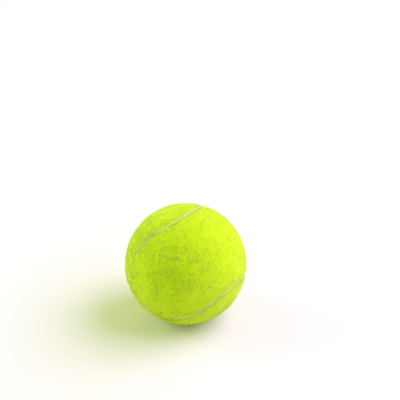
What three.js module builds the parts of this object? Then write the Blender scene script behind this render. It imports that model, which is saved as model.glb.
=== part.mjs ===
import * as THREE from 'three';

// A felt-covered rubber ball for a dog to fetch and chew.
// Two rubber half shells are cemented into a hollow core. Two equal dog-bone panels of felt are glued
// round it, and a strip of cement fills the seam between their edges.
// Millimetres, +Z up. The origin is the centre of the ball.

// Driving dimensions, in millimetres.
const ballDiameter = 65;
const feltThickness = 3;
const adhesiveThickness = 0.4;
const coreWall = 3.5;
// Clearance left between layers that are bonded on the real ball.
const layerGap = 0.3;
// The cement in the seam: its width, how far its middle lies below the nap, and how far it is crowned.
const seamWidth = 1.6;
const seamRecess = 0.8;
const seamCrown = 0.25;
// The felt's edge rounds down to the seam over this width and by this depth.
const shoulderWidth = 1.8;
const shoulderDrop = 1.1;
// The cement between the core's halves: its thickness, and the bead that was squeezed out inside.
const jointThickness = 0.5;
const beadHeight = 2;
const beadDepth = 0.8;

// The shape of the seam: the angle across a panel's narrow waist, seen from the centre, and how far the
// lobes swell. With a lobe swell of 0 the seam would swing evenly, as a wave does, with no lobes.
const waistAngle = THREE.MathUtils.degToRad(85.1);
const lobeSwell = 0.22;

// How the felt panels lie on the resting ball: turns about X, Y and Z.
const panelTurn = new THREE.Euler(
  THREE.MathUtils.degToRad(10.8),
  THREE.MathUtils.degToRad(51.9),
  THREE.MathUtils.degToRad(-75.1),
);

// Fineness of the faceted surfaces. The seam has four like quarters, so that both panels meet the strip.
const quarterSteps = 22;
const seamSteps = 4 * quarterSteps;
const panelColumns = 5;
const shoulderSteps = 3;
const coreMeridians = 36;
const coreRings = 8;

// Radii of the layers, from the outside in.
const ballRadius = ballDiameter / 2;
const feltBottom = ballRadius - feltThickness;
const adhesiveTop = feltBottom - layerGap;
const adhesiveBottom = adhesiveTop - adhesiveThickness;
const coreRadius = adhesiveBottom - layerGap;
const coreInside = coreRadius - coreWall;

// The felt's cut edge stands back from the middle of the seam by this much.
const edgeOffset = seamWidth / 2 + layerGap;

const feltMaterial = new THREE.MeshStandardMaterial({ color: 0xc6ea3c, roughness: 0.95, metalness: 0 });
const cementMaterial = new THREE.MeshStandardMaterial({ color: 0xdfe6c0, roughness: 0.7, metalness: 0 });
const adhesiveMaterial = new THREE.MeshStandardMaterial({ color: 0xd9cfa6, roughness: 0.6, metalness: 0 });
const jointMaterial = new THREE.MeshStandardMaterial({ color: 0x1c1c1e, roughness: 0.6, metalness: 0 });
const rubberMaterial = new THREE.MeshStandardMaterial({ color: 0x3a3b3d, roughness: 0.8, metalness: 0 });

// The middle of the seam on a ball of radius one. It starts at the tip of one lobe of panel a, which
// lies astride +Z, and closes on itself. It crosses the equator four times.
class SeamCurve extends THREE.Curve {
  getPoint(fraction, target = new THREE.Vector3()) {
    const angle = 2 * Math.PI * fraction - Math.PI / 4;
    const x = (1 - lobeSwell) * Math.cos(angle) + lobeSwell * Math.cos(3 * angle);
    const y = (1 - lobeSwell) * Math.sin(angle) - lobeSwell * Math.sin(3 * angle);
    const height = ((1 - 2 * lobeSwell) * Math.sin(2 * angle)) / Math.tan(waistAngle / 2);
    return target.set(x, y, height).normalize();
  }
}

// The seam's length is measured on this many short chords for each step round it.
const chordsPerStep = 8;
const seam = new SeamCurve();
seam.arcLengthDivisions = seamSteps * chordsPerStep;

// Points beside the seam at an even distance from it, on a sphere of the given radius. The offset is
// measured on the ball's surface, towards panel a when it is positive.
function seamLoop(offset, radius) {
  const angle = offset / ballRadius;
  const points = [];
  for (let step = 0; step < seamSteps; step += 1) {
    const middle = seam.getPointAt(step / seamSteps);
    const along = seam.getTangentAt(step / seamSteps);
    const across = middle.clone().cross(along).normalize();
    const point = middle.multiplyScalar(Math.cos(angle)).addScaledVector(across, Math.sin(angle));
    points.push(point.normalize().multiplyScalar(radius));
  }
  return points;
}

// The nearest point of a panel's spine, the arc that joins the centres of its two lobes over +Z.
// Spine points closer together than this are one point.
const samePoint = 1e-4;
const lobeDirection = new THREE.Vector3(1, -1, 0).normalize();

function spinePoint(edgePoint) {
  const spine = lobeDirection.clone().multiplyScalar(edgePoint.dot(lobeDirection));
  spine.z = Math.max(edgePoint.z, 0);
  return spine.normalize().multiplyScalar(edgePoint.length());
}

// The point at a fraction of the great-circle arc from one point of a sphere to another.
function alongArc(from, to, fraction) {
  const angle = from.angleTo(to);
  const start = from.clone().multiplyScalar(Math.sin((1 - fraction) * angle) / Math.sin(angle));
  return start.addScaledVector(to, Math.sin(fraction * angle) / Math.sin(angle));
}

// A closed skin, put together from loops of points that run round the seam.
class Skin {
  constructor() {
    this.positions = [];
    this.triangles = [];
  }

  addPoint(point) {
    this.positions.push(point.x, point.y, point.z);
    return this.positions.length / 3 - 1;
  }

  addLoop(points) {
    return points.map((point) => this.addPoint(point));
  }

  // A triangle whose corners run together is left out.
  addTriangle(a, b, c) {
    if (a !== b && b !== c && c !== a) {
      this.triangles.push(a, b, c);
    }
  }

  // Faces between two loops. They look to the right of the way from the first loop to the second, for
  // someone who looks along the seam.
  addBand(first, second) {
    for (let step = 0; step < first.length; step += 1) {
      const next = (step + 1) % first.length;
      this.addTriangle(first[step], first[next], second[next]);
      this.addTriangle(first[step], second[next], second[step]);
    }
  }

  // Loops that fill a panel from its edge to its spine, where the two sides share their points and
  // each lobe's end runs together in one point.
  addPanelLoops(edge) {
    const loops = [];
    for (let column = 1; column < panelColumns; column += 1) {
      const fraction = column / panelColumns;
      loops.push(this.addLoop(edge.map((point) => alongArc(point, spinePoint(point), fraction))));
    }
    const spine = new Array(seamSteps);
    let last = new THREE.Vector3();
    let lastIndex = -1;
    for (let step = 0; step <= seamSteps / 2; step += 1) {
      const point = spinePoint(edge[step]);
      if (point.distanceTo(last) > samePoint) {
        lastIndex = this.addPoint(point);
        last = point;
      }
      spine[step] = lastIndex;
      spine[(seamSteps - step) % seamSteps] = lastIndex;
    }
    loops.push(spine);
    return loops;
  }

  geometry() {
    const geometry = new THREE.BufferGeometry();
    geometry.setAttribute('position', new THREE.Float32BufferAttribute(this.positions, 3));
    geometry.setIndex(this.triangles);
    geometry.computeVertexNormals();
    return geometry;
  }
}

// A dog-bone sheet that wraps half the ball. Its edge profile is a list of offsets from the seam and
// radii, from the bottom edge to where the top face begins.
function panelGeometry(edgeProfile) {
  const skin = new Skin();
  const edges = edgeProfile.map(([offset, radius]) => seamLoop(offset, radius));
  const rim = edges.map((points) => skin.addLoop(points));
  const top = skin.addPanelLoops(edges[edges.length - 1]);
  const bottom = skin.addPanelLoops(edges[0]);
  const loops = [...bottom.reverse(), ...rim, ...top];
  for (let index = 1; index < loops.length; index += 1) {
    skin.addBand(loops[index - 1], loops[index]);
  }
  return skin.geometry();
}

// The felt's edge: a straight cut, then a rounded shoulder up to the nap.
function feltEdge() {
  const profile = [[edgeOffset, feltBottom]];
  for (let step = 0; step <= shoulderSteps; step += 1) {
    const turn = (Math.PI / 2) * (step / shoulderSteps);
    const offset = edgeOffset + shoulderWidth * (1 - Math.cos(turn));
    profile.push([offset, ballRadius - shoulderDrop * (1 - Math.sin(turn))]);
  }
  return profile;
}

function adhesiveEdge() {
  return [[edgeOffset, adhesiveBottom], [edgeOffset, adhesiveTop]];
}

// The cement strip: a flat base over the core, straight sides and a crowned top below the nap.
function seamCementGeometry() {
  const half = seamWidth / 2;
  const crownTop = ballRadius - seamRecess;
  const profile = [
    [-half, adhesiveBottom],
    [-half, crownTop - seamCrown],
    [0, crownTop],
    [half, crownTop - seamCrown],
    [half, adhesiveBottom],
  ];
  const skin = new Skin();
  const loops = profile.map(([offset, radius]) => skin.addLoop(seamLoop(offset, radius)));
  loops.forEach((loop, index) => skin.addBand(loop, loops[(index + 1) % loops.length]));
  return skin.geometry();
}

// The height of the core's flat rims above and below the equator.
const rimHeight = jointThickness / 2;

// Points of a core half's arc from its pole down to its rim.
function coreArc(radius) {
  const rimAngle = Math.acos(rimHeight / radius);
  const points = [];
  for (let ring = 0; ring <= coreRings; ring += 1) {
    const angle = (rimAngle * ring) / coreRings;
    points.push(new THREE.Vector2(radius * Math.sin(angle), radius * Math.cos(angle)));
  }
  points[0].x = 0;
  points[coreRings].y = rimHeight;
  return points;
}

// One rubber half shell, as turned about +Z with its rim down.
function coreHalfGeometry() {
  const profile = [...coreArc(coreInside), ...coreArc(coreRadius).reverse()];
  return new THREE.LatheGeometry(profile, coreMeridians).rotateX(Math.PI / 2);
}

// The cement ring between the rims, with its bead standing proud inside the core.
function coreJointGeometry() {
  const beadOutside = coreInside - layerGap;
  const profile = [
    new THREE.Vector2(coreRadius, -rimHeight),
    new THREE.Vector2(coreRadius, rimHeight),
    new THREE.Vector2(beadOutside, rimHeight),
    new THREE.Vector2(beadOutside, beadHeight / 2),
    new THREE.Vector2(beadOutside - beadDepth, 0),
    new THREE.Vector2(beadOutside, -beadHeight / 2),
    new THREE.Vector2(beadOutside, -rimHeight),
    new THREE.Vector2(coreRadius, -rimHeight),
  ];
  return new THREE.LatheGeometry(profile, coreMeridians).rotateX(Math.PI / 2);
}

function namedMesh(name, geometry, material) {
  const mesh = new THREE.Mesh(geometry, material);
  mesh.name = name;
  return mesh;
}

const coreHalfUpper = namedMesh('core_half_upper', coreHalfGeometry(), rubberMaterial);
const coreHalfLower = namedMesh('core_half_lower', coreHalfGeometry(), rubberMaterial);
coreHalfLower.rotation.x = Math.PI;
const coreJoint = namedMesh('core_joint_cement', coreJointGeometry(), jointMaterial);

// Panel a lies astride +Z of the felt's own frame, and panel b is the same piece turned over about X.
const adhesiveA = namedMesh('panel_adhesive_a', panelGeometry(adhesiveEdge()), adhesiveMaterial);
const adhesiveB = namedMesh('panel_adhesive_b', panelGeometry(adhesiveEdge()), adhesiveMaterial);
const feltA = namedMesh('felt_panel_a', panelGeometry(feltEdge()), feltMaterial);
const feltB = namedMesh('felt_panel_b', panelGeometry(feltEdge()), feltMaterial);
adhesiveB.rotation.x = Math.PI;
feltB.rotation.x = Math.PI;
const seamCement = namedMesh('seam_cement', seamCementGeometry(), cementMaterial);

const cover = new THREE.Group();
cover.rotation.copy(panelTurn);
cover.add(adhesiveA, adhesiveB, feltA, feltB, seamCement);

const ball = new THREE.Group();
ball.add(coreHalfUpper, coreHalfLower, coreJoint, cover);

export default ball;
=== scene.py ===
# %% [markdown]
# # A felt-covered ball for a dog
#
# The ball is a hollow rubber core with two dog-bone panels of felt glued round it. The line between
# the panels is a strip of cement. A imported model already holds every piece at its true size. This lesson
# makes each piece again with the detail of the real one, down to the single fibres of the felt.

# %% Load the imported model
import math

import bpy
import numpy as np
from mathutils import Euler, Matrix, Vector, noise
from mathutils.bvhtree import BVHTree


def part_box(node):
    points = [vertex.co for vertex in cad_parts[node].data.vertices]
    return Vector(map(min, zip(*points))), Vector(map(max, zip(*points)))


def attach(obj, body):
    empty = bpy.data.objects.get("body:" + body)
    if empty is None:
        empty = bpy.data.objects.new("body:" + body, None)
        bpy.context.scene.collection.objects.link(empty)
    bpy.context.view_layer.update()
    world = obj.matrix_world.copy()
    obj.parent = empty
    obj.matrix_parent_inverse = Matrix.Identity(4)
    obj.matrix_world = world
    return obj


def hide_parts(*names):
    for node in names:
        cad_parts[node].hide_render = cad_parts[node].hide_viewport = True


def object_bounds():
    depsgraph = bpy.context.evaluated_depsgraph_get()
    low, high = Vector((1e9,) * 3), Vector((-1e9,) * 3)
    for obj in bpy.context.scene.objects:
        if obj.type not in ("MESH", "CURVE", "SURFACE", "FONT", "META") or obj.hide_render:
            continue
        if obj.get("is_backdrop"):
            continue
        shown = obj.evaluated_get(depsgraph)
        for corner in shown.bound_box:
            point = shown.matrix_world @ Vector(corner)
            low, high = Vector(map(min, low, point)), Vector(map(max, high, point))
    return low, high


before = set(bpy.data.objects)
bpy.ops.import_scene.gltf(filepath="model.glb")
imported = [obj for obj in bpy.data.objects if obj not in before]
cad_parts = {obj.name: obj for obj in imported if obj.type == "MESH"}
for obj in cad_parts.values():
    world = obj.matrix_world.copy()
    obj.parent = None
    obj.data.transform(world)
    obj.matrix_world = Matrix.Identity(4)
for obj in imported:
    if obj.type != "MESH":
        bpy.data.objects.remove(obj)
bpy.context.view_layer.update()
MM = 0.001

# %% [markdown]
# ## Sizes
#
# Every layer of the ball is part of a sphere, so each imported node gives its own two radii: the nearest
# and the farthest of its points from the centre. The seam's width is named here, in metres. The packed
# model keeps a clearance beside the cement. Here felt and cement share that room and all but meet.

# %% Read the layers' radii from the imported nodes
def points_of(mesh):
    """A mesh's vertices as an array of rows."""
    flat = np.empty(len(mesh.vertices) * 3)
    mesh.vertices.foreach_get("co", flat)
    return flat.reshape(-1, 3)


def radii_of(node):
    """The nearest and the farthest distance of a node's points from the ball's centre."""
    lengths = np.linalg.norm(points_of(bpy.data.objects[node].data), axis=1)
    return float(lengths.min()), float(lengths.max())


FELT_BOTTOM, BALL_RADIUS = radii_of("felt_panel_a")
COAT_BOTTOM, COAT_TOP = radii_of("panel_adhesive_a")
CORE_INSIDE, CORE_RADIUS = radii_of("core_half_upper")
for layer, low, high in (("felt", FELT_BOTTOM, BALL_RADIUS), ("coat", COAT_BOTTOM, COAT_TOP),
                         ("core", CORE_INSIDE, CORE_RADIUS)):
    print(layer, "from", round(low / MM, 2), "to", round(high / MM, 2), "mm from the centre")

# %% Set the seam's width
SEAM_WIDTH = 2.1 * MM
EDGE_GAP = 0.05 * MM
FELT_EDGE = SEAM_WIDTH / 2 + EDGE_GAP
print("the felt starts", round(FELT_EDGE / MM, 2), "mm from the seam's middle")

# %% [markdown]
# ## The seam
#
# The seam is one closed line that swings up and down round the ball. It is drawn by an angle that goes
# once round: a circle, with a smaller one that turns three times as fast the other way, gives the lobes,
# and a wave with two crests lifts and lowers it. Its shape needs two numbers: the angle across a panel's
# narrow waist, and how far the lobes swell. The panels' own frame has one panel astride +Z, and three
# turns bring it to how the ball lies.

# %% Lay points along the middle of the seam
WAIST = math.radians(85.1)
LOBE_SWELL = 0.22
PANEL_TURN = Euler([math.radians(turn) for turn in (10.8, 51.9, -75.1)], "ZYX")
TO_WORLD = np.array(PANEL_TURN.to_matrix())
SEAM_POINTS = 1600
FINE_STEPS = 20000
SMALL_ANGLE = 1e-4


def unit(rows):
    return rows / np.linalg.norm(rows, axis=-1, keepdims=True)


def seam_line(count):
    """Points spaced evenly along the seam, the way across it to panel a, and its length as an angle."""
    fine = np.linspace(-math.pi / 4, 2 * math.pi - math.pi / 4, FINE_STEPS + 1)

    def direction(angle):
        x = (1 - LOBE_SWELL) * np.cos(angle) + LOBE_SWELL * np.cos(3 * angle)
        y = (1 - LOBE_SWELL) * np.sin(angle) - LOBE_SWELL * np.sin(3 * angle)
        height = (1 - 2 * LOBE_SWELL) * np.sin(2 * angle) / math.tan(WAIST / 2)
        return unit(np.stack([x, y, height], axis=-1))

    steps = np.linalg.norm(np.diff(direction(fine), axis=0), axis=1)
    run = np.concatenate([[0], np.cumsum(steps)])
    angles = np.interp(np.arange(count) / count * run[-1], run, fine)
    middle = direction(angles)
    along = unit(direction(angles + SMALL_ANGLE) - direction(angles - SMALL_ANGLE))
    return middle, np.cross(middle, along), run[-1]


SEAM_MIDDLE, SEAM_ACROSS, SEAM_TURN = seam_line(SEAM_POINTS)
print("the seam is", round(SEAM_TURN * BALL_RADIUS / MM), "mm long")

# %% Find the way from any place to the seam
ROWS_AT_ONCE = 8000


def nearest_on_seam(directions):
    """For each direction, the number of the nearest point of the seam."""
    found = np.empty(len(directions), int)
    for start in range(0, len(directions), ROWS_AT_ONCE):
        part = directions[start:start + ROWS_AT_ONCE]
        found[start:start + ROWS_AT_ONCE] = (part @ SEAM_MIDDLE.T).argmax(axis=1)
    return found


def seam_distance(directions):
    """How far each direction lies from the seam on the ball's face, positive on panel a's side."""
    near = nearest_on_seam(directions)
    return np.arcsin((directions * SEAM_ACROSS[near]).sum(axis=1)) * BALL_RADIUS


top_distance = seam_distance(np.array([[0.0, 0.0, 1.0]]))[0]
print("the middle of panel a is", round(top_distance / MM, 1), "mm from the seam")

# %% [markdown]
# ## Working as by hand
#
# An operator acts on what is selected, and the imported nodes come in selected. So each step starts with
# nothing selected, and faces and vertices are then picked in code by their place.

# %% Small helpers for selecting and moving
def select_only(*objects):
    bpy.ops.object.select_all(action="DESELECT")
    for each in objects:
        each.select_set(True)
    bpy.context.view_layer.objects.active = objects[0]


def edit(thing, mode):
    """Opens a mesh in edit mode with its marked vertices or faces selected."""
    select_only(thing)
    bpy.ops.object.mode_set(mode="EDIT")
    bpy.ops.mesh.select_mode(type=mode)


def mark(mesh, kind, picked):
    """Selects the picked vertices, or the picked faces, and nothing else."""
    for items in (mesh.vertices, mesh.edges, mesh.polygons):
        items.foreach_set("select", np.zeros(len(items), bool))
    items = mesh.vertices if kind == "VERT" else mesh.polygons
    items.foreach_set("select", picked)


def move_points(mesh, rows):
    mesh.vertices.foreach_set("co", np.ascontiguousarray(rows, dtype=np.float32).ravel())
    mesh.update()


def named(thing, name):
    thing.name = name
    thing.data.name = name
    return thing


print("selected on arrival:", len(bpy.context.selected_objects), "packed nodes")

# %% Small helpers for finishing a piece
def apply_modifiers(thing):
    select_only(thing)
    for modifier in list(thing.modifiers):
        bpy.ops.object.modifier_apply(modifier=modifier.name)


def faces_outward(thing):
    edit(thing, "FACE")
    bpy.ops.mesh.select_all(action="SELECT")
    bpy.ops.mesh.normals_make_consistent(inside=False)
    bpy.ops.object.mode_set(mode="OBJECT")


def tell(thing):
    """Prints a piece's faces and whether its mesh is closed."""
    mesh = thing.data
    uses = np.zeros(len(mesh.edges), int)
    edge_of = np.empty(len(mesh.loops), np.int32)
    mesh.loops.foreach_get("edge_index", edge_of)
    np.add.at(uses, edge_of, 1)
    mesh.calc_loop_triangles()
    reach = np.linalg.norm(points_of(mesh), axis=1).max() / MM
    print(thing.name, len(mesh.loop_triangles), "triangles,", int((uses != 2).sum()), "open edges,",
          f"reaches {reach:.2f} mm")


def finish_piece(thing, crease=None):
    """Applies the modifiers and shades the piece smooth, all over or up to creases of this angle."""
    apply_modifiers(thing)
    faces_outward(thing)
    select_only(thing)
    if crease:
        bpy.ops.object.shade_smooth_by_angle(angle=crease)
    else:
        bpy.ops.object.shade_smooth()
    tell(thing)


# %% [markdown]
# ## A panel's sheet
#
# A panel covers half the ball in the shape of a dog bone. By hand it starts as a cube that is cut up
# finely and blown up to a sphere, which gives even four-sided faces with no poles. The faces past the
# seam are deleted, the ragged border is drawn onto the cut line, and Solidify gives the sheet its
# thickness. The felt and the glue coat under it are made the same way, one finely and one coarsely.

# %% Let a cut edge wander as a real one does
# Each noise has a number of its own, so that no two of them look alike.
CUT_NOISE = 7
CUT_WAVE = 2.5 * MM
CUT_RAGGED = 0.14 * MM


def wobble(directions, size, number):
    """An even sort of noise from -1 to 1 over the ball, with waves of this size."""
    scale = BALL_RADIUS / size
    shift = Vector((number, 2 * number, 3 * number))
    return np.array([noise.noise(Vector(row) * scale + shift) for row in directions])


def cut_line(directions, edge, ragged):
    """How far the cut edge of a sheet over panel a stands from the seam near each direction."""
    return edge + ragged * wobble(directions, CUT_WAVE, CUT_NOISE)


cut_edge = cut_line(SEAM_MIDDLE, FELT_EDGE, CUT_RAGGED)
print("the felt's cut edge wanders by", round((cut_edge.max() - cut_edge.min()) / MM, 2), "mm")

# %% Draw a sheet's ragged border onto the cut line
BORDER_BAND = 1.2 * MM


def draw_border(sheet, outer, edge, ragged):
    """Moves the border onto the cut line, and evens out the faces beside it."""
    edit(sheet, "VERT")
    bpy.ops.mesh.select_all(action="DESELECT")
    bpy.ops.mesh.select_non_manifold()
    bpy.ops.object.mode_set(mode="OBJECT")
    border = np.empty(len(sheet.data.vertices), bool)
    sheet.data.vertices.foreach_get("select", border)

    directions = unit(points_of(sheet.data))
    near = nearest_on_seam(directions[border])
    across = SEAM_ACROSS[near]
    wanted = cut_line(SEAM_MIDDLE[near], edge, ragged)
    short = np.sin(wanted / BALL_RADIUS) - (directions[border] * across).sum(axis=1)
    directions[border] = unit(directions[border] + across * short[:, None])
    move_points(sheet.data, directions * outer)

    beside = ~border & (seam_distance(directions) < edge + BORDER_BAND)
    mark(sheet.data, "VERT", beside)
    edit(sheet, "VERT")
    bpy.ops.mesh.vertices_smooth(factor=0.5, repeat=12)
    bpy.ops.object.mode_set(mode="OBJECT")
    move_points(sheet.data, unit(points_of(sheet.data)) * outer)


print("the faces within", round(BORDER_BAND / MM, 1), "mm of a cut are evened out")

# %% Cut a panel's sheet out of a round cube
def panel_sheet(name, outer, thickness, edge, cells, ragged):
    """A sheet over panel a in the panels' own frame. Its cut edge stands at edge from the seam."""
    bpy.ops.object.select_all(action="DESELECT")
    bpy.ops.mesh.primitive_cube_add(size=2 * outer)
    sheet = named(bpy.context.object, name)
    edit(sheet, "FACE")
    bpy.ops.mesh.select_all(action="SELECT")
    bpy.ops.mesh.subdivide(number_cuts=cells // 2 - 1)
    bpy.ops.mesh.subdivide(number_cuts=1)
    bpy.ops.transform.tosphere(value=1)
    bpy.ops.object.mode_set(mode="OBJECT")

    directions = unit(points_of(sheet.data))
    outside = seam_distance(directions) < edge
    corners = np.empty(len(sheet.data.loops), np.int32)
    sheet.data.loops.foreach_get("vertex_index", corners)
    mark(sheet.data, "FACE", outside[corners].reshape(-1, 4).any(axis=1))
    move_points(sheet.data, directions * outer)
    edit(sheet, "FACE")
    bpy.ops.mesh.delete(type="FACE")
    bpy.ops.object.mode_set(mode="OBJECT")
    draw_border(sheet, outer, edge, ragged)

    solid = sheet.modifiers.new("thickness", "SOLIDIFY")
    solid.thickness = thickness
    solid.offset = -1
    apply_modifiers(sheet)
    return sheet


FELT_CELLS = 120
felt_sheet = panel_sheet("felt_sheet", BALL_RADIUS, BALL_RADIUS - FELT_BOTTOM, FELT_EDGE, FELT_CELLS,
                         CUT_RAGGED)
tell(felt_sheet)

# %% [markdown]
# ## The felt's shoulder and its lumps
#
# The felt is cut square, but its nap rounds over at the seam, so the outer face sinks towards the edge
# on a quarter of an ellipse. Then the sheet is copied to its two places, and each copy is roughened
# where it lies by Displace modifiers: wide unevenness from the glueing, clumps of wool, and a fine
# tangle. Handling has matted the wool in some patches, where it stands in short winding curls. Vertex
# groups keep the hidden bottom smooth and the curls inside the patches.

# %% Say where the felt is matted and how it curls
# The first patch faces the camera, as on the real ball. A patch has a direction and a reach in radians.
PATCH_SEED = 138
OTHER_PATCHES = 6
PATCH_REACHES = (0.35, 0.6)
PATCH_DICE = np.random.default_rng(PATCH_SEED)
PATCHES = [(unit(np.array([-0.14, -0.90, 0.40])), 0.62)]
PATCHES += [(unit(PATCH_DICE.normal(size=3)), PATCH_DICE.uniform(*PATCH_REACHES))
            for _ in range(OTHER_PATCHES)]
PATCH_FIRMNESS = 1.6
CURL_NOISE = 31
CURL_SIZE = 1.35 * MM
RIDGE_WIDTH = 0.3
# Another noise, of larger waves, breaks the ridges up into short curls.
BREAK_NOISE = 32
BREAK_SIZE = 1.3 * CURL_SIZE
BREAK_LEVEL = 0.5
BREAK_SLOPE = 1.8


def matted(directions):
    """How matted the felt is in each direction, from 0 to 1."""
    found = np.zeros(len(directions))
    for middle, reach in PATCHES:
        away = np.arccos(np.clip(directions @ middle, -1, 1)) / reach
        found = np.maximum(found, np.clip(PATCH_FIRMNESS * (1 - away), 0, 1))
    return found


def curls(directions):
    """Short winding ridges of wool, from 0 beside them to 1 along their tops."""
    winding = 1 - np.abs(wobble(directions, CURL_SIZE, CURL_NOISE)) / RIDGE_WIDTH
    broken = BREAK_LEVEL + BREAK_SLOPE * wobble(directions, BREAK_SIZE, BREAK_NOISE)
    return np.clip(winding, 0, 1) * np.clip(broken, 0, 1)


seam_matted = (matted(SEAM_MIDDLE @ TO_WORLD.T) > 0).mean()
print(len(PATCHES), f"matted patches lie along {seam_matted:.0%} of the seam")

# %% Round the shoulder and place the two panels
SHOULDER_WIDTH = 1.3 * MM
SHOULDER_DROP = 0.36 * MM
NEAR_FACE = 0.2 * MM


def round_shoulder(sheet):
    """Sinks the outer face towards the seam, and makes the vertex group of that face."""
    rows = points_of(sheet.data)
    lengths = np.linalg.norm(rows, axis=1)
    directions = unit(rows)
    outer = lengths > BALL_RADIUS - NEAR_FACE
    inland = np.clip((seam_distance(directions) - FELT_EDGE) / SHOULDER_WIDTH, 0, 1)
    drop = SHOULDER_DROP * (1 - np.sqrt(1 - (1 - inland) ** 2))
    lengths = np.where(outer, BALL_RADIUS - drop, lengths)
    move_points(sheet.data, directions * lengths[:, None])
    nap = sheet.vertex_groups.new(name="nap")
    nap.add(np.flatnonzero(outer).tolist(), 1.0, "REPLACE")


# Panel b is panel a turned over.
TURN_OVER = np.diag([1.0, -1.0, -1.0])
PANEL_PLACES = {"a": TO_WORLD, "b": TO_WORLD @ TURN_OVER}


def turned_copy(thing, name, turn):
    """A copy of a piece with a mesh of its own, turned about the ball's centre."""
    copy = thing.copy()
    copy.data = thing.data.copy()
    bpy.context.scene.collection.objects.link(copy)
    move_points(copy.data, points_of(copy.data) @ turn.T)
    return named(copy, name)


round_shoulder(felt_sheet)
felts = [turned_copy(felt_sheet, f"felt_cover_{side}", turn) for side, turn in PANEL_PLACES.items()]
bpy.data.objects.remove(felt_sheet)
print("placed", [felt.name for felt in felts])

# %% Roughen the felt
LUMPS = (
    # What it is, the size of its waves and its height.
    ("broad", 11 * MM, 0.2 * MM),
    ("clumps", 2.6 * MM, 0.16 * MM),
    ("tangle", 1.1 * MM, 0.08 * MM),
)
CURL_HEIGHT = 0.43 * MM


def lump_texture(name, size):
    texture = bpy.data.textures.new(name, "CLOUDS")
    texture.noise_scale = size
    texture.noise_depth = 2
    return texture


def displace(sheet, name, height, group, texture=None, middle=0.5):
    """Lifts a sheet's face by a texture, or evenly. A texture's value of middle leaves it as it is."""
    lift = sheet.modifiers.new(name, "DISPLACE")
    lift.texture = texture
    lift.texture_coords = "LOCAL"
    lift.vertex_group = group
    lift.strength = height
    lift.mid_level = middle


def weigh_curls(felt):
    """Makes the vertex group of the curls on the outer face of the matted patches."""
    group = felt.vertex_groups.new(name="curls")
    rows = points_of(felt.data)
    directions = unit(rows)
    outer = np.linalg.norm(rows, axis=1) > BALL_RADIUS - SHOULDER_DROP - NEAR_FACE
    weights = outer * matted(directions) * curls(directions)
    for number in np.flatnonzero(weights).tolist():
        group.add([number], weights[number], "REPLACE")


lump_textures = {name: lump_texture("felt_" + name, size) for name, size, _ in LUMPS}
for felt in felts:
    weigh_curls(felt)
    for name, _, height in LUMPS:
        displace(felt, name, height, "nap", lump_textures[name])
    displace(felt, "curls", CURL_HEIGHT, "curls", middle=0.0)
    finish_piece(felt)

# %% [markdown]
# ## The cement in the seam
#
# The cement is pressed into the groove and dries as a pale strip with a slightly domed, uneven top.
# By hand it is a long flat grid that is wrapped round the seam, joined end to end, and thickened. Each
# of its points is laid at its run along the seam and its distance from the middle.

# %% Wrap a strip round the seam
STRIP_RUNS = 900
STRIP_CELLS = 8
SEAM_RECESS = 0.16 * MM
STRIP_CROWN = 0.12 * MM
STRIP_NOISE = 3
STRIP_WAVE = 1.4 * MM
STRIP_UNEVEN = 0.07 * MM
# The noise changes this much from the middle of the strip to its edge.
STRIP_SLANT = 0.02
SAME_PLACE = 0.01 * MM
CREASE = math.radians(50)


def blend_rows(rows, place):
    """Rows of a closed list at fractional places, blended between neighbours."""
    low = np.floor(place).astype(int)
    share = (place - low)[:, None]
    return unit(rows[low % len(rows)] * (1 - share) + rows[(low + 1) % len(rows)] * share)


def seam_strip():
    bpy.ops.object.select_all(action="DESELECT")
    bpy.ops.mesh.primitive_grid_add(x_subdivisions=STRIP_RUNS, y_subdivisions=STRIP_CELLS, size=2)
    strip = named(bpy.context.object, "seam_line")
    flat = points_of(strip.data)
    run = (flat[:, 0] + 1) / 2
    aside = flat[:, 1]
    place = run * SEAM_POINTS % SEAM_POINTS
    middle = blend_rows(SEAM_MIDDLE, place)
    across = blend_rows(SEAM_ACROSS, place)
    uneven = wobble(middle + STRIP_SLANT * across * aside[:, None], STRIP_WAVE, STRIP_NOISE)
    # Towards panel b, the cut line is looked up at the place where panel a has it.
    towards_b = (aside < 0)[:, None]
    cut = cut_line(np.where(towards_b, middle @ TURN_OVER, middle), FELT_EDGE, CUT_RAGGED)
    angle = aside * (cut - EDGE_GAP) / BALL_RADIUS
    radius = BALL_RADIUS - SEAM_RECESS - STRIP_CROWN * aside ** 2 + STRIP_UNEVEN * uneven
    rows = middle * np.cos(angle)[:, None] + across * np.sin(angle)[:, None]
    move_points(strip.data, unit(rows) * radius[:, None] @ TO_WORLD.T)
    edit(strip, "VERT")
    bpy.ops.mesh.select_all(action="SELECT")
    bpy.ops.mesh.remove_doubles(threshold=SAME_PLACE)
    bpy.ops.mesh.normals_make_consistent(inside=False)
    bpy.ops.object.mode_set(mode="OBJECT")
    if (points_of(strip.data)[0] @ np.array(strip.data.vertices[0].normal)) < 0:
        edit(strip, "FACE")
        bpy.ops.mesh.select_all(action="SELECT")
        bpy.ops.mesh.flip_normals()
        bpy.ops.object.mode_set(mode="OBJECT")
    solid = strip.modifiers.new("thickness", "SOLIDIFY")
    solid.thickness = BALL_RADIUS - SEAM_RECESS - STRIP_CROWN - COAT_BOTTOM
    solid.offset = -1
    finish_piece(strip, CREASE)
    return strip


strip = seam_strip()

# %% Soil some stretches of the cement
# The first ones are where the real ball's seam is darker. A stretch has a direction, a reach and a
# strength.
SOIL_SEED = 8
OTHER_SOILED = 6
SOIL_REACHES = (2, 6)
SOIL_STRENGTHS = (0.3, 0.9)
SOIL_NOISE = 41
SOIL_WAVE = 0.8 * MM
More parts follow.
